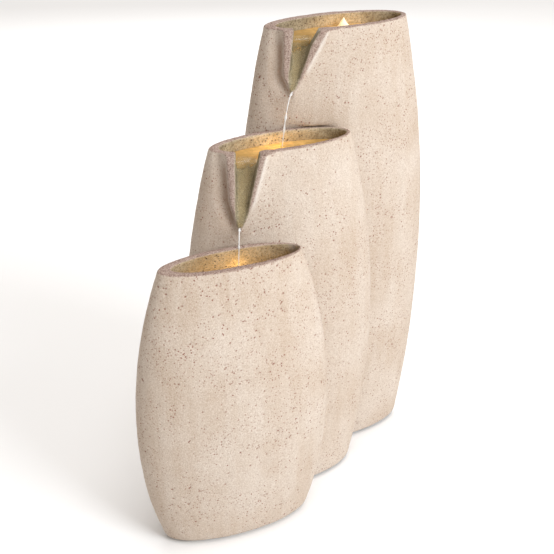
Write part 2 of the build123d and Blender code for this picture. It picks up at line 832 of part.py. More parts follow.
# Front lamp bracket: a shelf bonded to the reservoir's back wall.
with BuildPart() as front_lamp_bracket:
    add(cavity_slice(front, plate_gap, bracket_z, lamps[2].seat_z))
    with BuildSketch(Plane((lamps[2].x, lamps[2].y + 12, bracket_z))):
        Rectangle(2 * bracket_half_width, 40)
    extrude(amount=bracket_thickness, mode=Mode.INTERSECT)
    add(stem_hole(lamps[2], bracket_z, lamps[2].seat_z), mode=Mode.SUBTRACT)
save(front_lamp_bracket.part, "front_lamp_bracket")

# Splash tray: a drilled plate that rests on the two ledges, with a slot that clears the front lamp.
tray_x = front.x + front.lean
with BuildPart() as splash_tray:
    with BuildSketch(Plane((tray_x, front.y, tray_z))):
        Ellipse(tray_half_width, tray_half_depth)
    extrude(amount=tray_thickness)
    with BuildSketch(Plane((lamps[2].x, lamps[2].y, tray_z))):
        Circle(lamp_radius + 1)
        with Locations((0, 10)):
            Rectangle(2 * lamp_radius + 2, 20)
    extrude(amount=tray_thickness, mode=Mode.SUBTRACT)
    with BuildSketch(Plane((tray_x, front.y - 7, tray_z))):
        with GridLocations(8, 1, 9, 1):
            Circle(1.8)
    extrude(amount=tray_thickness, mode=Mode.SUBTRACT)
    with BuildSketch(Plane((tray_x - 24, front.y, tray_z))):
        with GridLocations(8, 7, 5, 2):
            Circle(1.8)
    extrude(amount=tray_thickness, mode=Mode.SUBTRACT)
    with BuildSketch(Plane((tray_x + 32, front.y, tray_z))):
        with GridLocations(8, 7, 3, 2):
            Circle(1.8)
    extrude(amount=tray_thickness, mode=Mode.SUBTRACT)
    with BuildSketch(Plane((tray_x - 8, front.y - 3.5, tray_z + tray_thickness))):
        Rectangle(12, 1.6)
    extrude(amount=9)
save(splash_tray.part, "splash_tray")

# Junction box: an open tray with a lid that the four leads drop through onto a terminal block.
with BuildPart() as junction_box:
    with BuildSketch(Plane((box_x, box_y, box_bottom))):
        RectangleRounded(box_length, box_width, 2)
    extrude(amount=box_height)
    with BuildSketch(Plane((box_x, box_y, box_bottom + box_wall))):
        RectangleRounded(box_length - 2 * box_wall, box_width - 2 * box_wall, 1)
    extrude(amount=box_height, mode=Mode.SUBTRACT)
    with BuildSketch(Plane((box_x, box_y, box_bottom))):
        with GridLocations(box_length - 7, box_width - 7, 2, 2):
            Circle(2.4)
    extrude(amount=box_height)
    with BuildSketch(across_back(box_y)):
        Circle(gland_bore + 0.4)
    extrude(amount=box_width, mode=Mode.SUBTRACT)
    with BuildSketch(Plane((box_x, box_y, box_bottom + 5))):
        with GridLocations(box_length - 7, box_width - 7, 2, 2):
            Circle(1.15)
    extrude(amount=box_height, mode=Mode.SUBTRACT)
save(junction_box.part, "junction_box")

with BuildPart() as junction_lid:
    with BuildSketch(Plane((box_x, box_y, box_bottom + box_height))):
        RectangleRounded(box_length, box_width, 2)
        with GridLocations(box_length - 7, box_width - 7, 2, 2):
            Circle(1.3, mode=Mode.SUBTRACT)
        for entry in lead_entries:
            with Locations((entry - box_x, 0)):
                Circle(lead_radius + fit_gap, mode=Mode.SUBTRACT)
    extrude(amount=box_lid)
    chamfer(junction_lid.faces().sort_by(Axis.Z)[-1].outer_wire().edges(), 0.8)
save(junction_lid.part, "junction_lid")

with BuildPart() as lid_screws:
    with BuildSketch(Plane((box_x, box_y, box_bottom + 6))):
        with GridLocations(box_length - 7, box_width - 7, 2, 2):
            Circle(1.1)
    extrude(amount=box_height + box_lid - 6)
    with BuildSketch(Plane((box_x, box_y, box_bottom + box_height + box_lid))):
        with GridLocations(box_length - 7, box_width - 7, 2, 2):
            Circle(2.1)
    extrude(amount=1.4)
save(lid_screws.part, "lid_screws")

with BuildPart() as terminal_block:
    with BuildSketch(Plane((box_x, box_y, box_bottom + box_wall))):
        Rectangle(34, 10)
    extrude(amount=lead_end - box_bottom - box_wall)
    for entry in lead_entries:
        with BuildSketch(Plane((entry, box_y - 3.4, box_bottom + box_wall + 4))):
            Circle(1.2)
        extrude(amount=box_height, mode=Mode.SUBTRACT)
save(terminal_block.part, "terminal_block")

# Cable gland in the tall vase's back wall: a domed body from outside, and a nut inside.
with BuildPart() as cable_gland:
    with BuildSketch(across_back(gland_inner_y)):
        Circle(gland_radius)
    extrude(amount=gland_seat_y - gland_inner_y)
    with BuildSketch(across_back(gland_seat_y)):
        RegularPolygon(flange_radius - 0.6, 6)
    extrude(amount=3)
    with BuildSketch(across_back(gland_seat_y + 3)):
        Circle(flange_radius - 2)
    with BuildSketch(across_back(gland_seat_y + 9)):
        Circle(gland_bore + 1.8)
    loft()
    with BuildSketch(across_back(gland_inner_y)):
        Circle(gland_bore)
    extrude(amount=40, mode=Mode.SUBTRACT)
save(cable_gland.part, "cable_gland")

with BuildPart() as gland_nut:
    with BuildSketch(across_back(gland_inner_y + 2.5)):
        RegularPolygon(flange_radius - 0.4, 6)
        Circle(gland_radius + fit_gap, mode=Mode.SUBTRACT)
    extrude(amount=3.5)
save(gland_nut.part, "gland_nut")
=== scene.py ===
import json
import math

import bmesh
import bpy
import numpy as np
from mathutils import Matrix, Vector, kdtree, noise


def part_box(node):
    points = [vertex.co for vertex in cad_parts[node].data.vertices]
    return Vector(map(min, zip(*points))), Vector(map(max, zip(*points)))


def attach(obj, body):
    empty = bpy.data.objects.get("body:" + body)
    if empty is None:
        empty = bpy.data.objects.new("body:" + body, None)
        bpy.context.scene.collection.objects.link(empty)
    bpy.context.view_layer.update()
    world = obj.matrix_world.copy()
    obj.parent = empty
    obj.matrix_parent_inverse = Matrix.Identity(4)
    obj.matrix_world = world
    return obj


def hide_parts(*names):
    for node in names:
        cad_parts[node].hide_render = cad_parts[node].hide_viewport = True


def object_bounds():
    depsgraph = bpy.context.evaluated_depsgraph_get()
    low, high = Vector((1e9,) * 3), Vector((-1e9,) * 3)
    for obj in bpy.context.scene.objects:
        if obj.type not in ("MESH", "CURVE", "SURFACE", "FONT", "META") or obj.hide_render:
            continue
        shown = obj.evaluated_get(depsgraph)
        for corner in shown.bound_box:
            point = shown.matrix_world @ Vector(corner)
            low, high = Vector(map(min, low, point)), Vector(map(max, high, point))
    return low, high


# Looks of the three-tier cast fountain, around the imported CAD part.
# Blender's own objects are in metres. Shapes are worked out in millimetres and scaled by MM.
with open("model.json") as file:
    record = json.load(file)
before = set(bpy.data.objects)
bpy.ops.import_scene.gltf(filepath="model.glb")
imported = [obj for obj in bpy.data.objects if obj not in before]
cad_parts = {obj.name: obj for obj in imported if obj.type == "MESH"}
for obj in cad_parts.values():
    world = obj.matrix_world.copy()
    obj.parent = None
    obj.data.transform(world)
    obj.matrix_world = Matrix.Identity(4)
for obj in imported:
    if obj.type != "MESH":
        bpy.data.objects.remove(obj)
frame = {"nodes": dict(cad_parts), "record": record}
cad_low, cad_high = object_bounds()
nodes_by_name = frame["nodes"]
MM = 0.001

# Driving sizes of the vases in mm. Centre, half axes, belly height and wall are the same as the CAD part's.
# The voxel sets how fine the shell's mesh is. Glow_drop and wet_drop are how far below the rim the inner
# wall is brightest and starts to be wet, and glow_shift moves the bright place along X from the lamp.
WATER_DROP = 11.5
VASES = {
    "tall_vase": dict(
        centre=(70, 53), base=(83, 33), belly=(100, 42), rim=(71, 29), belly_z=214, wall=8.5,
        voxel=1.85, seed=11, pits=380,
        glow_reach=18, glow_shift=0, glow_drop=WATER_DROP, wet_drop=WATER_DROP,
    ),
    "middle_vase": dict(
        centre=(-6, 4), base=(76, 36), belly=(96, 39), rim=(68, 27), belly_z=169, wall=8.0,
        voxel=1.75, seed=12, pits=300,
        glow_reach=23, glow_shift=0, glow_drop=WATER_DROP, wet_drop=WATER_DROP,
    ),
    "front_vase": dict(
        centre=(-77, -53), base=(72, 28), belly=(93, 42), rim=(65.5, 22.5), belly_z=131, wall=7.5,
        voxel=1.6, seed=13, pits=520,
        glow_reach=32, glow_shift=-11, glow_drop=30, wet_drop=60,
    ),
}
for name, size in VASES.items():
    size["height"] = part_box(name)[1].z / MM

# The spouts face this far to the left of -Y, and stand on the rim at this place from the vase's centre.
SPOUT_TURN = math.radians(22)
SPOUT_SHIFT = (-45, -20)
# Outlines in each spout's front view, as (across, up from the rim): the beak that stands proud of the wall,
# the flare that blends it in, and the open channel. Proud_tip and drop place the beak's tip.
SPOUTS = {
    "tall_vase": dict(
        beak=[(-15, 0), (24, 0), (10, -26), (-7, -58), (-15.5, -40)],
        flare=[(-25, 0), (38, 0), (23, -36), (-9, -84), (-26, -48)],
        channel=[(-5, 2), (17.5, 2), (9, -12), (-5, -51), (-9, -53), (-10, -44)],
        proud_tip=13.0,
        drop=54,
    ),
    "middle_vase": dict(
        beak=[(-14, 0), (21, 0), (10, -40), (-3, -70), (-11.5, -42)],
        flare=[(-24, 0), (34, 0), (23, -50), (-4, -96), (-22, -52)],
        channel=[(-5, 2), (15, 2), (3, -55), (-1, -64), (-4.5, -64), (-5.7, -54)],
        proud_tip=13.5,
        drop=65,
    ),
}
# The weir at the channel's head: how far below the rim, and how far out from the spout's place.
WEIR_DROP = 12
WEIR_DEPTH = -6
VALLEY_DEPTH = 4.0
# How much of the brown stain, itself partly painted shade, joins the painted shade of the crease.
STAIN_AND_SHADE_SHARE = 0.34

# Linear colours of the cast stone and of the light on it.
STONE = dict(
    shade=(0.512, 0.414, 0.327),
    light=(0.590, 0.507, 0.428),
    streak=(0.665, 0.60, 0.53),
    dark_sand=(0.335, 0.240, 0.175),
    pale_sand=(0.70, 0.64, 0.575),
    grain=(0.180, 0.042, 0.020),
    # Painted highlight on the spouts' rounded right edges.
    painted_edge_highlight=(0.70, 0.65, 0.59),
    # Painted shade in the creases, and a brown stain on the left flanks that is partly painted shade.
    stain_and_shade=(0.205, 0.112, 0.066),
    cut_shade=(0.20, 0.125, 0.098),
    cut_light=(0.45, 0.345, 0.29),
    cut_grain=(0.085, 0.038, 0.028),
    inner_shade=(0.27, 0.225, 0.145),
    inner_light=(0.46, 0.395, 0.275),
    inner_sand=(0.095, 0.065, 0.035),
    inner_grain=(0.075, 0.024, 0.012),
    chute_shade=(0.22, 0.18, 0.105),
    chute_light=(0.38, 0.32, 0.205),
    chute_sand=(0.10, 0.08, 0.05),
)
UNLIT = (0.0, 0.0, 0.0)
WALL_GLOW_COLOUR = (0.90, 0.47, 0.15)
POOL_GLOW_COLOUR = (0.90, 0.52, 0.17)
LAMP_COLOUR = (1.0, 0.58, 0.16)


# ---------------------------------------------------------------- node helpers
class Nodes:
    """A material's node tree with short calls for the nodes that the finishes share."""

    def __init__(self, name):
        self.material = bpy.data.materials.new(name)
        self.material.use_nodes = True
        self.tree = self.material.node_tree
        self.shader = self.tree.nodes["Principled BSDF"]
        self.coords = self.tree.nodes.new("ShaderNodeTexCoord").outputs["Object"]

    def link(self, source, target):
        self.tree.links.new(source, target)

    def stretched(self, scale):
        """Object coordinates scaled by a vector, for streaks."""
        node = self.tree.nodes.new("ShaderNodeMapping")
        node.inputs["Scale"].default_value = scale
        self.link(self.coords, node.inputs["Vector"])
        return node.outputs["Vector"]

    def noise(self, scale, detail=3.0, roughness=0.5, vector=None):
        node = self.tree.nodes.new("ShaderNodeTexNoise")
        node.inputs["Scale"].default_value = scale
        node.inputs["Detail"].default_value = detail
        node.inputs["Roughness"].default_value = roughness
        self.link(vector or self.coords, node.inputs["Vector"])
        return node.outputs["Fac"]

    def cells(self, scale):
        node = self.tree.nodes.new("ShaderNodeTexVoronoi")
        node.inputs["Scale"].default_value = scale
        self.link(self.coords, node.inputs["Vector"])
        return node.outputs["Distance"]

    def dots(self, scale, core, edge):
        """A round dot in each cell: 1 within its core, 0 past its edge."""
        return self.remap(self.cells(scale), core, edge, 1.0, 0.0)

    def attribute(self, name):
        node = self.tree.nodes.new("ShaderNodeAttribute")
        node.attribute_name = name
        return node.outputs["Fac"]

    def remap(self, value, low, high, to_low=0.0, to_high=1.0):
        node = self.tree.nodes.new("ShaderNodeMapRange")
        for name, number in zip(("From Min", "From Max", "To Min", "To Max"), (low, high, to_low, to_high)):
            node.inputs[name].default_value = number
        self.link(value, node.inputs["Value"])
        return node.outputs["Result"]

    def math(self, operation, first, second):
        node = self.tree.nodes.new("ShaderNodeMath")
        node.operation = operation
        for socket, value in zip(node.inputs, (first, second)):
            if isinstance(value, (int, float)):
                socket.default_value = value
            else:
                self.link(value, socket)
        return node.outputs["Value"]

    def mix(self, factor, first, second):
        """A colour mix; each colour is a tuple or a socket."""
        node = self.tree.nodes.new("ShaderNodeMix")
        node.data_type = "RGBA"
        for name, value in (("Factor_Float", factor), ("A_Color", first), ("B_Color", second)):
            socket = next(s for s in node.inputs if s.identifier == name)
            if isinstance(value, tuple):
                socket.default_value = (*value, 1.0)
            elif isinstance(value, (int, float)):
                socket.default_value = value
            else:
                self.link(value, socket)
        return next(s for s in node.outputs if s.identifier == "Result_Color")

    def bump(self, height, strength, distance, normal=None):
        node = self.tree.nodes.new("ShaderNodeBump")
        node.inputs["Strength"].default_value = strength
        node.inputs["Distance"].default_value = distance
        self.link(height, node.inputs["Height"])
        if normal is not None:
            self.link(normal, node.inputs["Normal"])
        return node.outputs["Normal"]

    def set(self, **values):
        """Constant values straight on the shader's sockets; underscores stand for spaces."""
        for name, value in values.items():
            self.shader.inputs[name.replace("_", " ")].default_value = value

    def feed(self, name, socket):
        self.link(socket, self.shader.inputs[name])


# ---------------------------------------------------------------- materials
def outer_face(n, speckle, grains):
    """The moulded outside: clouded warm beige, faint streaks, sand, brown grains, a painted edge highlight,
    and painted shade with a brown stain.
    """
    clouds = n.remap(n.noise(17, 4, 0.55), 0.36, 0.66)
    streaks = n.remap(n.noise(1.0, 3, 0.6, n.stretched((95, 95, 7))), 0.40, 0.66)
    colour = n.mix(clouds, STONE["shade"], STONE["light"])
    colour = n.mix(n.math("MULTIPLY", streaks, 0.28), colour, STONE["streak"])
    colour = n.mix(n.remap(speckle, 0.40, 0.55, 0.36, 0.0), colour, STONE["dark_sand"])
    colour = n.mix(n.remap(speckle, 0.56, 0.70, 0.0, 0.34), colour, STONE["pale_sand"])
    colour = n.mix(n.math("MULTIPLY", grains, 0.85), colour, STONE["grain"])
    # Painted highlight along the rounded right edge of each spout's beak.
    colour = n.mix(n.math("MULTIPLY", n.attribute("painted_edge_highlight"), 0.55), colour, STONE["painted_edge_highlight"])
    # Painted shade in the crease left of each beak, with a brown stain that is partly painted shade of the
    # left flank.
    return n.mix(n.math("MULTIPLY", n.attribute("crease_shade_and_stain"), 0.58), colour, STONE["stain_and_shade"])


def cut_face(n, speckle):
    """The bare rims and lips: rosy brown with dark grains."""
    colour = n.mix(n.remap(speckle, 0.38, 0.62), STONE["cut_shade"], STONE["cut_light"])
    return n.mix(n.math("MULTIPLY", n.dots(260, 0.14, 0.24), 0.7), colour, STONE["cut_grain"])


def inner_face(n, grains):
    """The inner wall: olive, with coarse dark grains."""
    colour = n.mix(n.remap(n.noise(60, 4, 0.6), 0.35, 0.65), STONE["inner_shade"], STONE["inner_light"])
    colour = n.mix(n.remap(n.noise(520, 3, 0.6), 0.38, 0.55, 0.60, 0.0), colour, STONE["inner_sand"])
    return n.mix(n.math("MULTIPLY", grains, 0.92), colour, STONE["inner_grain"])


def chute_face(n, speckle):
    """The channels that the water runs down: darker olive."""
    colour = n.mix(n.remap(n.noise(110, 4, 0.6), 0.35, 0.65), STONE["chute_shade"], STONE["chute_light"])
    return n.mix(n.remap(speckle, 0.42, 0.58, 0.7, 0.0), colour, STONE["chute_sand"])


def cast_stone():
    """Sand-cast shell. Attributes say where it is rim, inside, chute, pit or wet, where the painted highlight
    and painted shade go, and its glow.
    """
    n = Nodes("cast_stone")
    speckle = n.noise(820, 3, 0.65)
    clusters = n.remap(n.noise(26, 3, 0.6), 0.36, 0.58)
    patches = n.remap(n.noise(40, 2, 0.5), 0.47, 0.58)
    fine_dots = n.math("MULTIPLY", n.dots(370, 0.16, 0.27), clusters)
    large_dots = n.math("MULTIPLY", n.dots(235, 0.12, 0.20), patches)
    coarse_dots = n.math("MULTIPLY", n.dots(215, 0.11, 0.19), clusters)
    grains = n.math("MAXIMUM", n.math("MULTIPLY", fine_dots, 0.75), large_dots)
    grains = n.math("MAXIMUM", grains, n.remap(n.attribute("pit"), 0.35, 0.80))
    inner_grains = n.math("MAXIMUM", grains, coarse_dots)

    colour = n.mix(n.attribute("rim"), outer_face(n, speckle, grains), cut_face(n, speckle))
    colour = n.mix(n.attribute("inside"), colour, inner_face(n, inner_grains))
    n.feed("Base Color", n.mix(n.attribute("chute"), colour, chute_face(n, speckle)))
    wet = n.math("MAXIMUM", n.attribute("chute"), n.attribute("wet"))
    dry = n.remap(speckle, 0.35, 0.65, 0.80, 0.95)
    n.feed("Roughness", n.math("SUBTRACT", dry, n.math("MULTIPLY", wet, 0.40)))
    sand_relief = n.bump(speckle, 0.55, 0.0009)
    n.feed("Normal", n.bump(grains, -0.6, 0.0010, sand_relief))

    sand = n.remap(speckle, 0.36, 0.58, 0.50, 1.10)
    grit = n.math("SUBTRACT", sand, n.math("MULTIPLY", inner_grains, 1.05))
    lit = n.math("MULTIPLY", n.attribute("glow"), n.math("MAXIMUM", grit, 0.0))
    n.feed("Emission Color", n.mix(lit, UNLIT, WALL_GLOW_COLOUR))
    n.set(Specular_IOR_Level=0.3, Emission_Strength=0.52)
    return n.material


def moulded(name, dark, light, rough, grain=900.0, relief=0.25):
    """Moulded plastic or rubber with a fine grain, dusting and uneven gloss."""
    n = Nodes(name)
    dust = n.remap(n.noise(55, 4, 0.6), 0.35, 0.70)
    n.feed("Base Color", n.mix(dust, dark, light))
    n.feed("Roughness", n.remap(n.noise(130, 3, 0.6), 0.30, 0.70, rough - 0.09, rough + 0.09))
    n.feed("Normal", n.bump(n.noise(grain, 2, 0.5), relief, 0.00035))
    return n.material


def metal(name, dark, light, rough, direction):
    """Plated or rolled metal with fine lines along one direction."""
    n = Nodes(name)
    lines = n.noise(1.0, 4, 0.65, n.stretched(direction))
    n.feed("Base Color", n.mix(n.remap(lines, 0.3, 0.7), dark, light))
    n.feed("Roughness", n.remap(lines, 0.3, 0.7, rough - 0.08, rough + 0.10))
    n.feed("Normal", n.bump(lines, 0.2, 0.0002))
    n.set(Metallic=1.0)
    return n.material


def basin_resin():
    """Olive coating on the basin floors, blotched where mineral has dried."""
    n = Nodes("basin_resin")
    blotch = n.remap(n.noise(48, 5, 0.65), 0.36, 0.66)
    scale_marks = n.remap(n.noise(330, 3, 0.6), 0.55, 0.72)
    base = n.mix(blotch, (0.17, 0.135, 0.075), (0.33, 0.275, 0.17))
    n.feed("Base Color", n.mix(n.math("MULTIPLY", scale_marks, 0.5), base, (0.56, 0.51, 0.40)))
    n.feed("Roughness", n.remap(blotch, 0.0, 1.0, 0.30, 0.55))
    n.feed("Normal", n.bump(n.noise(420, 3, 0.6), 0.4, 0.0005))
    return n.material


def sponge():
    """Open-cell foam."""
    n = Nodes("sponge")
    holes = n.remap(n.cells(900), 0.15, 0.45)
    n.feed("Base Color", n.mix(holes, (0.015, 0.015, 0.016), (0.12, 0.12, 0.125)))
    n.feed("Normal", n.bump(holes, 0.9, 0.0008))
    n.set(Roughness=0.95)
    return n.material


def lamp_lens():
    """Clear dome lit warm from below, with a faint lime mottle."""
    n = Nodes("lamp_lens")
    mottle = n.noise(300, 2, 0.5)
    n.feed("Base Color", n.mix(mottle, (1.0, 0.86, 0.60), (1.0, 0.93, 0.78)))
    n.feed("Roughness", n.remap(mottle, 0.3, 0.7, 0.08, 0.20))
    n.feed("Normal", n.bump(mottle, 0.1, 0.0003))
    n.set(Emission_Color=(1.0, 0.66, 0.24, 1.0), Emission_Strength=1.3)
    return n.material


def light_board():
    """A small circuit board with a bright emitter."""
    n = Nodes("light_board")
    tracks = n.remap(n.cells(700), 0.25, 0.40)
    n.feed("Base Color", n.mix(tracks, (0.85, 0.80, 0.62), (0.95, 0.93, 0.86)))
    n.feed("Normal", n.bump(tracks, 0.3, 0.0002))
    n.set(Roughness=0.4, Emission_Color=(1.0, 0.70, 0.28, 1.0), Emission_Strength=3.0)
    return n.material


def clear_hose():
    """Milky silicone with a faint lime film."""
    n = Nodes("clear_hose")
    film = n.remap(n.noise(80, 4, 0.6), 0.4, 0.7)
    n.feed("Base Color", n.mix(film, (0.66, 0.69, 0.66), (0.80, 0.80, 0.75)))
    n.feed("Roughness", n.remap(film, 0, 1, 0.18, 0.40))
    n.feed("Normal", n.bump(n.noise(250, 2, 0.5), 0.15, 0.0004))
    n.set(Transmission_Weight=0.45, IOR=1.41)
    return n.material


def water(name, colour, alpha):
    """Lit water: smooth and clear, with a slight tint, warm where a lamp shines up through it."""
    n = Nodes(name)
    drift = n.noise(70, 3, 0.5)
    bright = tuple(min(1.0, c * 1.25) for c in colour)
    n.feed("Base Color", n.mix(n.remap(drift, 0.35, 0.65), colour, bright))
    n.feed("Roughness", n.remap(drift, 0.3, 0.7, 0.04, 0.10))
    n.feed("Normal", n.bump(n.noise(190, 2, 0.5), 0.35, 0.0012))
    lit = n.math("MULTIPLY", n.attribute("glow"), n.remap(n.noise(120, 3, 0.6), 0.34, 0.62, 0.35, 1.15))
    n.feed("Emission Color", n.mix(lit, UNLIT, POOL_GLOW_COLOUR))
    n.set(Alpha=alpha, IOR=1.33, Specular_IOR_Level=0.3, Emission_Strength=0.54)
    return n.material


FINISHES = {
    "cast_stone": cast_stone(),
    "basin_resin": basin_resin(),
    "black_plastic": moulded("black_plastic", (0.018, 0.018, 0.020), (0.048, 0.047, 0.045), 0.46),
    "grey_plastic": moulded("grey_plastic", (0.10, 0.105, 0.115), (0.16, 0.165, 0.17), 0.40),
    "white_plastic": moulded("white_plastic", (0.66, 0.65, 0.61), (0.78, 0.77, 0.74), 0.42),
    "steel": metal("steel", (0.42, 0.43, 0.45), (0.72, 0.72, 0.73), 0.28, (900, 900, 90)),
    "lamination": metal("lamination", (0.10, 0.095, 0.09), (0.24, 0.225, 0.21), 0.50, (2000, 60, 60)),
    "rubber": moulded("rubber", (0.020, 0.020, 0.020), (0.055, 0.052, 0.048), 0.78, 600.0, 0.4),
    "white_ceramic": moulded("white_ceramic", (0.80, 0.79, 0.75), (0.88, 0.87, 0.85), 0.20, 500.0, 0.05),
    "sponge": sponge(),
    "clear_hose": clear_hose(),
    "lead_jacket": moulded("lead_jacket", (0.012, 0.012, 0.013), (0.035, 0.034, 0.033), 0.50, 700.0, 0.2),
    "light_board": light_board(),
    "lamp_lens": lamp_lens(),
}


def paint(obj, material):
    obj.data.materials.clear()
    obj.data.materials.append(material)


for row in frame["record"]["subparts"]:
    paint(nodes_by_name[row["node"]], FINISHES[row["material_slot"]])


# ---------------------------------------------------------------- mesh helpers
def new_piece(name, mesh, material):
    """A new object of the root body, smooth shaded."""
    piece = bpy.data.objects.new(name, mesh)
    bpy.context.scene.collection.objects.link(piece)
    paint(piece, material)
    mesh.polygons.foreach_set("use_smooth", [True] * len(mesh.polygons))
    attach(piece, "root")
    return piece


def points_of(mesh):
    points = np.empty(len(mesh.vertices) * 3, np.float32)
    mesh.vertices.foreach_get("co", points)
    return points.reshape(-1, 3).astype(float)


def move_points(mesh, points):
    """Moves a mesh's vertices to points given in mm."""
    mesh.vertices.foreach_set("co", (points * MM).astype(np.float32).ravel())
    mesh.update()


def store(mesh, name, values):
    """A float for each vertex, which a material reads by name."""
    mesh.attributes.new(name, "FLOAT", "POINT").data.foreach_set("value", values.astype(np.float32))


def ramp(values, low, high):
    """0 below low, 1 above high, smooth between."""
    share = np.clip((values - low) / (high - low), 0, 1)
    return share * share * (3 - 2 * share)


def outside_by(polygon, across, up):
    """Signed distance from a polygon in the spout's front view, negative inside, in mm."""
    corners = np.array(polygon, float)
    nearest = np.full(len(across), 1e9)
    inside = np.zeros(len(across), bool)
    for start, end in zip(corners, np.roll(corners, -1, axis=0)):
        edge = end - start
        along = ((across - start[0]) * edge[0] + (up - start[1]) * edge[1]) / (edge @ edge)
        along = np.clip(along, 0, 1)
        gap = np.hypot(across - start[0] - along * edge[0], up - start[1] - along * edge[1])
        nearest = np.minimum(nearest, gap)
        crosses = (start[1] > up) != (end[1] > up)
        with np.errstate(divide="ignore", invalid="ignore"):
            at = start[0] + (up - start[1]) * edge[0] / edge[1]
        inside ^= crosses & (across < at)
    return np.where(inside, -nearest, nearest)


def relax(points, pairs, weight, rounds):
    """Moves each point towards the mean of its neighbours, by its weight, a number of times."""
    count = len(points)
    neighbours = np.bincount(pairs.ravel(), minlength=count)[:, None].clip(1)
    for _ in range(rounds):
        mean = np.empty_like(points)
        for axis in range(3):
            mean[:, axis] = np.bincount(pairs[:, 0], points[pairs[:, 1], axis], count)
            mean[:, axis] += np.bincount(pairs[:, 1], points[pairs[:, 0], axis], count)
        points = points + (mean / neighbours - points) * weight[:, None]
    return points


def mesh_of(bm, name):
    """A new mesh from a finished bmesh, which it frees, with its normals outward."""
    bmesh.ops.recalc_face_normals(bm, faces=bm.faces)
    mesh = bpy.data.meshes.new(name)
    bm.to_mesh(mesh)
    bm.free()
    return mesh


def mesh_of_mm(bm, name):
    """The same for a bmesh drawn in mm."""
    bmesh.ops.scale(bm, vec=(MM, MM, MM), verts=bm.verts)
    return mesh_of(bm, name)


def join_rings(bm, first, second):
    """A closed band of faces between two rings of as many vertices."""
    for s in range(len(first)):
        t = (s + 1) % len(first)
        bm.faces.new((first[s], second[s], second[t], first[t]))


def fan(bm, tip, ring):
    """Triangles from a ring of vertices to one tip."""
    for s in range(len(ring)):
        bm.faces.new((tip, ring[s], ring[(s + 1) % len(ring)]))


# ---------------------------------------------------------------- cast shells
# How much the edges, the plain walls and the surroundings of a spout are smoothed.
EDGE_SOFTENING = dict(weight=0.35, rounds=2)
PLAIN_SOFTENING = dict(weight=0.5, rounds=7)
SPOUT_SOFTENING = dict(weight=0.6, rounds=50)
# The shell's skin lies this far inside the CAD face, in mm, with waves and pits in it. No pits lie below
# the foot's height.
SKIN_INSET = 0.30
WAVE_HEIGHT = 0.30
PIT_DEPTH = 0.75
PIT_RADII = (1.2, 1.9)
FOOT_HEIGHT = 8


def half_axes(size, z):
    """Half width and half depth of the vase's outer oval at heights z, in mm, as in the CAD part."""
    below = ((size["belly_z"] - z) / size["belly_z"]).clip(0) ** 2.2
    above = ((z - size["belly_z"]) / (size["height"] - size["belly_z"])).clip(0) ** 2
    axes = []
    for belly, base, rim in zip(size["belly"], size["base"], size["rim"]):
        axes.append(belly - ((belly - base) * below + (belly - rim) * above))
    return axes


def depth_inside(points, size):
    """How far each point lies in from the vase's outer oval, in mm."""
    wide, deep = half_axes(size, points[:, 2])
    u, v = points[:, 0] - size["centre"][0], points[:, 1] - size["centre"][1]
    ring = np.sqrt((u / wide) ** 2 + (v / deep) ** 2).clip(1e-6)
    slope = np.sqrt((u / wide**2) ** 2 + (v / deep**2) ** 2).clip(1e-9) / ring
    return (1 - ring) / slope


def spout_coords(points, node):
    """Across, out and up from the spout's place on the rim, in mm, as seen from outside."""
    size = VASES[node]
    x = points[:, 0] - size["centre"][0] - SPOUT_SHIFT[0]
    y = points[:, 1] - size["centre"][1] - SPOUT_SHIFT[1]
    out = -x * math.sin(SPOUT_TURN) - y * math.cos(SPOUT_TURN)
    across = x * math.cos(SPOUT_TURN) - y * math.sin(SPOUT_TURN)
    return across, out, points[:, 2] - size["height"]


def scattered_pits(points, surface, seed, count):
    """How deep small pits, crowded in patches of the marked surface, press in each point, 0 to 1."""
    random = np.random.default_rng(seed)
    tree = kdtree.KDTree(len(points))
    for i, point in enumerate(points):
        tree.insert(point, i)
    tree.balance()
    sunk = np.zeros(len(points))
    candidates = np.flatnonzero(surface)
    made = 0
    while made < count:
        centre = points[random.choice(candidates)]
        crowd = noise.noise(Vector(centre) * 0.022) + 0.6 * noise.noise(Vector(centre) * 0.07)
        if random.random() > np.clip(0.30 + 1.4 * crowd, 0.04, 1):
            continue
        radius = random.uniform(*PIT_RADII)
        for _, i, gap in tree.find_range(centre, radius):
            sunk[i] = max(sunk[i], (1 - (gap / radius) ** 2) * random.uniform(0.7, 1.0))
        made += 1
    return sunk * surface


def remeshed(node):
    """The vase's CAD mesh as a new, even mesh of small faces."""
    work = bpy.data.objects.new(node + "_work", nodes_by_name[node].data.copy())
    bpy.context.scene.collection.objects.link(work)
    remesh = work.modifiers.new("voxels", "REMESH")
    remesh.mode = "VOXEL"
    remesh.voxel_size = VASES[node]["voxel"] * MM
    mesh = bpy.data.meshes.new_from_object(work.evaluated_get(bpy.context.evaluated_depsgraph_get()))
    bpy.data.objects.remove(work)
    return mesh


def soften(points, pairs, share, weight, rounds):
    """Relaxes the points, by a weight times each one's share."""
    return relax(points, pairs, weight * share, rounds)


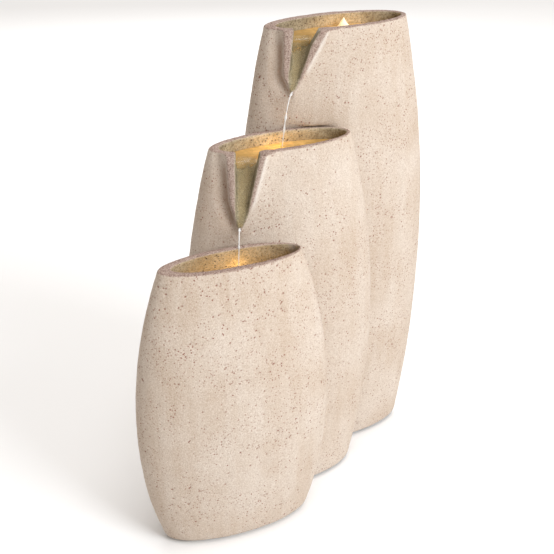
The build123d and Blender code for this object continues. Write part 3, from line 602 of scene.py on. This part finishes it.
def shape_spout(points, pairs, node):
    """Blends a spout into its wall and presses the valley beside its left lip.

    Returns the points, how plain each one's surroundings are, and the spout's marks for the finish, among
    them painted shade and a painted highlight.
    """
    spout = SPOUTS[node]
    across, out, up = spout_coords(points, node)
    from_channel = outside_by(spout["channel"], across, up)
    from_beak = outside_by(spout["beak"], across, up)
    from_flare = outside_by(spout["flare"], across, up)
    plain = np.maximum(ramp(from_beak, 1, 5), ramp(-out, 12, 16))

    front_side = ramp(out, -10, -5) * ramp(-up, 0.5, 3)
    blend = front_side * ramp(-from_flare, -16, -6) * ramp(from_beak, 0.6, 3.5)
    points = soften(points, pairs, blend, **SPOUT_SOFTENING)
    left = ramp(-across, 5, 9) * ramp(-up, -1, 3) * ramp(up, -spout["drop"] - 10, -spout["drop"] + 8)
    valley = ramp(from_beak, -0.2, 2.0) * (1 - ramp(from_beak, 3.0, 15.0)) * left * ramp(out, -8, -2)
    into_wall = np.array([math.sin(SPOUT_TURN), math.cos(SPOUT_TURN), 0])
    points = points + into_wall * (VALLEY_DEPTH * valley)[:, None]

    across, out, up = spout_coords(points, node)
    chute = ramp(-from_channel, -1.4, -0.4) * ramp(out, -9.5, -8)
    lip = ramp(-from_beak, -1.2, 0.8) * ramp(out, 2, 5) * (1 - chute)
    left *= ramp(-up, 3, 16)
    # Painted shade in the crease beside the left lip.
    crease_shade_and_stain = ramp(from_beak, 0.3, 1.6) * (1 - ramp(from_beak, 2.2, 7.0)) * left * ramp(out, -8, -2)
    # A brown stain left of the spout, partly painted shade on the left flank.
    stain_and_shade = ramp(from_beak, -0.2, 2) * (1 - ramp(from_beak, 8, 40)) * ramp(-across, 3, 16)
    stain_and_shade *= ramp(-up, 10, 42) * ramp(out, -24, -8)
    # Painted highlight along the beak's rounded right edge.
    right = ramp(across + up * 0.25, -6, 0) * front_side
    painted_edge_highlight = right * ramp(from_beak, -1.5, 0) * (1 - ramp(from_beak, 1.5, 4.5))
    # The stain, which is partly painted shade, joins the crease's painted shade.
    crease_shade_and_stain = np.maximum(crease_shade_and_stain, STAIN_AND_SHADE_SHARE * stain_and_shade)
    return points, plain, dict(chute=chute, lip=lip, crease_shade_and_stain=crease_shade_and_stain, painted_edge_highlight=painted_edge_highlight)


def wall_glow(points, node, inside):
    """How brightly the basin's lamp lights each point of the inner wall, 0 to 1."""
    size = VASES[node]
    lamp_low, lamp_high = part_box(node.replace("_vase", "_lamp_lens"))
    lamp = np.array((lamp_low + lamp_high) / 2) / MM
    lamp[0] += size["glow_shift"]
    lamp[2] = max(lamp[2], size["height"] - size["glow_drop"])
    reach = np.linalg.norm((points - lamp) / np.array([1.5, 1.0, 1.0]), axis=1)
    above = ramp(points[:, 2], lamp[2] - 14, lamp[2] - 2)
    return inside * above * np.exp(-((reach / size["glow_reach"]) ** 2))


def cast_shell(node):
    """The shell as it comes from the mould: soft edges, a blended spout, pits and an uneven face."""
    size = VASES[node]
    mesh = remeshed(node)
    points = points_of(mesh) / MM
    pairs = np.empty(len(mesh.edges) * 2, np.int32)
    mesh.edges.foreach_get("vertices", pairs)
    pairs = pairs.reshape(-1, 2)
    depth = depth_inside(points, size)
    points = soften(points, pairs, np.ones(len(points)), **EDGE_SOFTENING)
    plain = ramp(size["height"] - points[:, 2], 2, 6)
    marks = {name: np.zeros(len(points)) for name in ("chute", "lip", "crease_shade_and_stain", "painted_edge_highlight")}
    if node in SPOUTS:
        points, spout_plain, marks = shape_spout(points, pairs, node)
        plain *= spout_plain

    points = soften(points, pairs, plain, **PLAIN_SOFTENING)
    move_points(mesh, points)
    normals = np.empty(len(mesh.vertices) * 3, np.float32)
    mesh.vertices.foreach_get("normal", normals)
    normals = normals.reshape(-1, 3).astype(float)
    rim = ramp(points[:, 2], size["height"] - 1.1, size["height"] - 0.5)
    inside = ramp(depth, size["wall"] * 0.45, size["wall"] * 0.60) * (1 - rim)
    face = ((depth < 1.5) & (rim < 0.2) & (marks["chute"] < 0.5)).astype(float)

    waves = np.array([noise.noise(Vector(p) * 0.03) + 0.5 * noise.noise(Vector(p) * 0.11) for p in points])
    sunk = scattered_pits(points, face * (points[:, 2] > FOOT_HEIGHT), size["seed"], size["pits"])
    inward = SKIN_INSET + WAVE_HEIGHT * waves + PIT_DEPTH * sunk
    points = points - normals * inward[:, None]
    move_points(mesh, points)

    wet_top = size["height"] - size["wet_drop"] + 2.5
    store(mesh, "glow", wall_glow(points, node, inside))
    # Painted shade with the stain, then the painted highlight on the spout's right edge.
    store(mesh, "crease_shade_and_stain", marks["crease_shade_and_stain"])
    store(mesh, "painted_edge_highlight", marks["painted_edge_highlight"])
    store(mesh, "rim", np.maximum(rim, 0.9 * marks["lip"]))
    store(mesh, "inside", inside)
    store(mesh, "chute", marks["chute"])
    store(mesh, "pit", sunk)
    store(mesh, "wet", inside * ramp(-points[:, 2], -wet_top - 2, -wet_top + 1))
    piece = new_piece(node.replace("_vase", "_shell"), mesh, FINISHES["cast_stone"])
    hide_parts(node)


for node in VASES:
    cast_shell(node)


# ---------------------------------------------------------------- water
# Sizes in mm. The basins' water stands to the right of the vase's centre by the lean of its top.
TOP_LEAN = 3.0
POOL_THICKNESS = 5.0
POOL_GAP = 0.4
POOL_RIPPLE = 0.55
POOL_RINGS, POOL_SPOKES = 26, 96
POOL_GLOW_REACH = 22
# The film's top and underside stand this far off the chute. It starts in the basin, behind the weir.
FILM_LIFTS = (0.55, 0.05)
FILM_RIPPLE = 0.18
FILM_START = (-22, -18, -14, -10, -7)
FILM_STEPS, FILM_COLUMNS = 30, 14
FILM_SHORT_OF_TIP = 1.5
SWELL_RINGS, SWELL_SPOKES = 14, 36
STREAM_STEPS, STREAM_SIDES = 90, 16
STREAM_FIRST_SPEED = 0.35
BEAD_LENGTH = 0.045


def glow_on(mesh, node):
    """How brightly a basin's lamp lights each point of the water above it."""
    low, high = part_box(node.replace("_vase", "_lamp_lens"))
    points = points_of(mesh)
    gap = np.hypot((points[:, 0] - (low.x + high.x) / 2) / 1.7, points[:, 1] - (low.y + high.y) / 2)
    store(mesh, "glow", np.exp(-((gap / (POOL_GLOW_REACH * MM)) ** 2)) * 0.95 + 0.10)


def basin_water(name, node, material):
    """A closed sheet of water across a basin, with gentle ripples on top."""
    size = VASES[node]
    level = size["height"] - WATER_DROP
    centre_x, centre_y = size["centre"][0] + TOP_LEAN, size["centre"][1]
    wide, deep = (axis[0] - size["wall"] - POOL_GAP for axis in half_axes(size, np.array([level])))
    bm = bmesh.new()
    edges = []
    for base, ripple in ((level, POOL_RIPPLE), (level - POOL_THICKNESS, 0.0)):
        middle = bm.verts.new((centre_x, centre_y, base))
        grid = []
        for r in range(1, POOL_RINGS + 1):
            height = ripple if r < POOL_RINGS else 0.0
            ring = []
            for s in range(POOL_SPOKES):
                angle = 2 * math.pi * s / POOL_SPOKES
                x = centre_x + wide * r / POOL_RINGS * math.cos(angle)
                y = centre_y + deep * r / POOL_RINGS * math.sin(angle)
                rise = height * noise.noise(Vector((x * 0.12, y * 0.12, level)))
                ring.append(bm.verts.new((x, y, base + rise)))
            grid.append(ring)
        fan(bm, middle, grid[0])
        for inner, outer in zip(grid, grid[1:]):
            join_rings(bm, inner, outer)
        edges.append(grid[-1])
    join_rings(bm, *edges)
    mesh = mesh_of_mm(bm, name)
    glow_on(mesh, node)
    new_piece(name, mesh, material)


def channel_edges(channel, up):
    """The channel's left and right edges at a height from the rim."""
    found = []
    for (x0, y0), (x1, y1) in zip(channel, channel[1:] + channel[:1]):
        if (y0 > up) != (y1 > up):
            found.append(x0 + (up - y0) * (x1 - x0) / (y1 - y0))
    return min(found), max(found)


def border(grid):
    """The outer loop of a grid of vertices, in order."""
    right_side = [row[-1] for row in grid[1:]]
    left_side = [row[0] for row in grid[-2:0:-1]]
    return grid[0] + right_side + grid[-1][-2::-1] + left_side


def film_rows(spout):
    """The film's middle line from the basin over the weir to the tip, as (out, up) from the rim."""
    fall = (spout["drop"] - WEIR_DROP) / (spout["proud_tip"] - WEIR_DEPTH)
    tip = spout["drop"] - FILM_SHORT_OF_TIP
    rows = [(out, -WATER_DROP) for out in FILM_START]
    for i in range(FILM_STEPS + 1):
        down = WEIR_DROP + (tip - WEIR_DROP) * i / FILM_STEPS
        rows.append((WEIR_DEPTH + (down - WEIR_DROP) / fall, -down))
    return rows


def weir_film(name, node, material):
    """A thin closed film of water over the weir and down the chute to the spout's tip."""
    spout = SPOUTS[node]
    size = VASES[node]
    cos_turn, sin_turn = math.cos(SPOUT_TURN), math.sin(SPOUT_TURN)
    bm = bmesh.new()
    layers = []
    for lift, wave in zip(FILM_LIFTS, (FILM_RIPPLE, 0.0)):
        grid = []
        for out, up in film_rows(spout):
            left, right = channel_edges(spout["channel"], min(up, -WEIR_DROP))
            line = []
            for c in range(FILM_COLUMNS + 1):
                across = left + (right - left) * (0.02 + 0.96 * c / FILM_COLUMNS)
                ripple = wave * noise.noise(Vector((across * 0.5, out * 0.25, up * 0.25)))
                reach = out + (lift + ripple if up < -WEIR_DROP else 0.0)
                x = size["centre"][0] + SPOUT_SHIFT[0] - reach * sin_turn + across * cos_turn
                y = size["centre"][1] + SPOUT_SHIFT[1] - reach * cos_turn - across * sin_turn
                line.append(bm.verts.new((x, y, size["height"] + up + lift * 0.5)))
            grid.append(line)
        for upper, lower in zip(grid, grid[1:]):
            for c in range(FILM_COLUMNS):
                bm.faces.new((upper[c], lower[c], lower[c + 1], upper[c + 1]))
        layers.append(grid)
    join_rings(bm, *(border(grid) for grid in layers))
    mesh = mesh_of_mm(bm, name)
    glow_on(mesh, node)
    new_piece(name, mesh, material)


def swell(name, centre, radius, height, material):
    """A lit mound where the water wells up over a lamp."""
    bm = bmesh.new()
    x, y, z = centre
    top = bm.verts.new((x, y, z + height))
    base = bm.verts.new((x, y, z - 1))
    grid = []
    for r in range(1, SWELL_RINGS + 1):
        share = r / SWELL_RINGS
        rise = height * (1 - share) ** 1.25 - share
        ring = []
        for s in range(SWELL_SPOKES):
            angle = 2 * math.pi * s / SWELL_SPOKES
            wobble = 1 + 0.25 * noise.noise(Vector((math.cos(angle) * 1.3, math.sin(angle) * 1.3, share * 2)))
            reach = radius * share * wobble
            ring.append(bm.verts.new((x + reach * math.cos(angle), y + reach * math.sin(angle), z + rise)))
        grid.append(ring)
    fan(bm, top, grid[0])
    fan(bm, base, grid[-1])
    for inner, outer in zip(grid, grid[1:]):
        join_rings(bm, inner, outer)
    mesh = mesh_of_mm(bm, name)
    store(mesh, "glow", np.full(len(mesh.vertices), 1.0))
    new_piece(name, mesh, material)


def stream(name, start, end, width, material):
    """A falling thread of water from start to end, as wide as width says along its fall."""
    bm = bmesh.new()
    start, end = Vector(start), Vector(end)
    rings = []
    for i in range(STREAM_STEPS + 1):
        share = i / STREAM_STEPS
        fall = share * share * (1 - STREAM_FIRST_SPEED) + share * STREAM_FIRST_SPEED
        centre = Vector((
            start.x + (end.x - start.x) * share**0.8,
            start.y + (end.y - start.y) * share**0.8,
            start.z + (end.z - start.z) * fall,
        ))
        radius = width(share)
        ring = []
        for s in range(STREAM_SIDES):
            angle = 2 * math.pi * s / STREAM_SIDES
            wobble = 1 + 0.22 * noise.noise(Vector((math.cos(angle), math.sin(angle), share * 14)))
            offset = Vector((math.cos(angle), math.sin(angle), 0)) * radius * wobble
            ring.append(bm.verts.new((centre + offset) * MM))
        rings.append(ring)
    for upper, lower in zip(rings, rings[1:]):
        join_rings(bm, upper, lower)
    bm.faces.new(rings[0])
    bm.faces.new(list(reversed(rings[-1])))
    new_piece(name, mesh_of(bm, name), material)


def beads(radius, bead, centres):
    """A stream's width along its fall: thin, with a few beads."""
    def width(share):
        swollen = sum(bead * math.exp(-((share - c) / BEAD_LENGTH) ** 2) for c in centres)
        return radius * (1.15 - 0.35 * share) + swollen
    return width


pool = water("pool_water", (0.36, 0.225, 0.075), 0.82)
film = water("film_water", (0.46, 0.37, 0.20), 0.24)
thread = water("falling_water", (0.88, 0.90, 0.90), 0.50)
crest = water("lit_crest", (1.0, 0.93, 0.66), 0.95)
for node in SPOUTS:
    basin_water(node.replace("_vase", "_water"), node, pool)
for node in SPOUTS:
    weir_film(node.replace("_vase", "_weir_film"), node, film)
tall_level, middle_level = (VASES[node]["height"] - WATER_DROP for node in SPOUTS)
lamp_low, lamp_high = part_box("tall_lamp_lens")
over_lamp = (lamp_low + lamp_high) / 2 / MM
swell("tall_swell", (over_lamp.x, over_lamp.y, tall_level), 7.5, 9.0, crest)
# Each stream falls from its beak's tip: the upper one into the middle basin, the lower one into the front.
upper_end = (-0.5, 14, middle_level - 1)
stream("upper_stream", (13.4, 23.2, 397), upper_end, beads(0.5, 0.75, (0.10, 0.60, 0.78)), thread)
stream("lower_stream", (-59, -28, 298), (-66, -42, 262), beads(0.5, 0.6, (0.08, 0.55)), thread)


# ---------------------------------------------------------------- stage, light and camera
FLOOR_HALF_SIDE = 25.0
LIT_PLACE = Vector((0, 0, 0.22))
WORLD_COLOUR = (1.0, 0.93, 0.865, 1.0)
WORLD_STRENGTH = 0.48
LENS_GLOW_POWER = {"tall_lamp_lens": 0.07, "middle_lamp_lens": 0.05, "front_lamp_lens": 0.004}
CAMERA_PLACE = (-0.3568, -0.8085, 0.6875)
CAMERA_LOOK = (0.3478, 0.8145, -0.4643)
CAMERA_LENS = 68.43


def studio_floor():
    """A wide pale floor under the object."""
    mesh = bpy.data.meshes.new("studio_floor")
    bm = bmesh.new()
    bmesh.ops.create_grid(bm, x_segments=24, y_segments=24, size=FLOOR_HALF_SIDE)
    bm.to_mesh(mesh)
    bm.free()
    floor = bpy.data.objects.new("studio_floor", mesh)
    bpy.context.scene.collection.objects.link(floor)
    floor.location.z = cad_low.z
    n = Nodes("studio_floor")
    n.feed("Base Color", n.mix(n.noise(2.5, 2, 0.5), (0.86, 0.86, 0.86), (0.90, 0.90, 0.90)))
    n.set(Roughness=0.85, Specular_IOR_Level=0.1)
    paint(floor, n.material)


def lamp_at(name, kind, place, power, colour, size):
    """A light that faces the object's middle. Its size is a width, a sun's angle or a point's radius."""
    light = bpy.data.lights.new(name, kind)
    light.energy = power
    light.color = colour
    setting = {"AREA": "size", "SUN": "angle", "POINT": "shadow_soft_size"}[kind]
    setattr(light, setting, size)
    holder = bpy.data.objects.new(name, light)
    bpy.context.scene.collection.objects.link(holder)
    holder.location = place
    holder.rotation_mode = "QUATERNION"
    holder.rotation_quaternion = (LIT_PLACE - Vector(place)).to_track_quat("-Z", "Y")


studio_floor()
world = bpy.data.worlds.new("studio")
bpy.context.scene.world = world
world.use_nodes = True
world.node_tree.nodes["Background"].inputs["Color"].default_value = WORLD_COLOUR
world.node_tree.nodes["Background"].inputs["Strength"].default_value = WORLD_STRENGTH
lamp_at("key", "AREA", (1.24, -2.34, 1.61), 77, (0.94, 0.968, 1.0), 1.4)
lamp_at("sky", "SUN", (0.3, -0.4, 3.0), 1.3, (1.0, 1.0, 1.0), 0.6)
lamp_at("back", "AREA", (0.5, 1.5, 1.0), 10, (1.0, 1.0, 1.0), 1.2)
for lens, power in LENS_GLOW_POWER.items():
    lens_low, lens_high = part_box(lens)
    middle = (lens_low + lens_high) / 2
    lamp_at(lens + "_glow", "POINT", (middle.x, middle.y, lens_high.z + 0.002), power, LAMP_COLOUR, 0.003)

camera = bpy.data.cameras.new("camera")
camera.lens = CAMERA_LENS
camera.sensor_width = 36.0
camera_object = bpy.data.objects.new("camera", camera)
bpy.context.scene.collection.objects.link(camera_object)
camera_object.location = CAMERA_PLACE
camera_object.rotation_mode = "QUATERNION"
camera_object.rotation_quaternion = Vector(CAMERA_LOOK).to_track_quat("-Z", "Y")
bpy.context.scene.camera = camera_object
bpy.context.scene.view_settings.view_transform = "Standard"
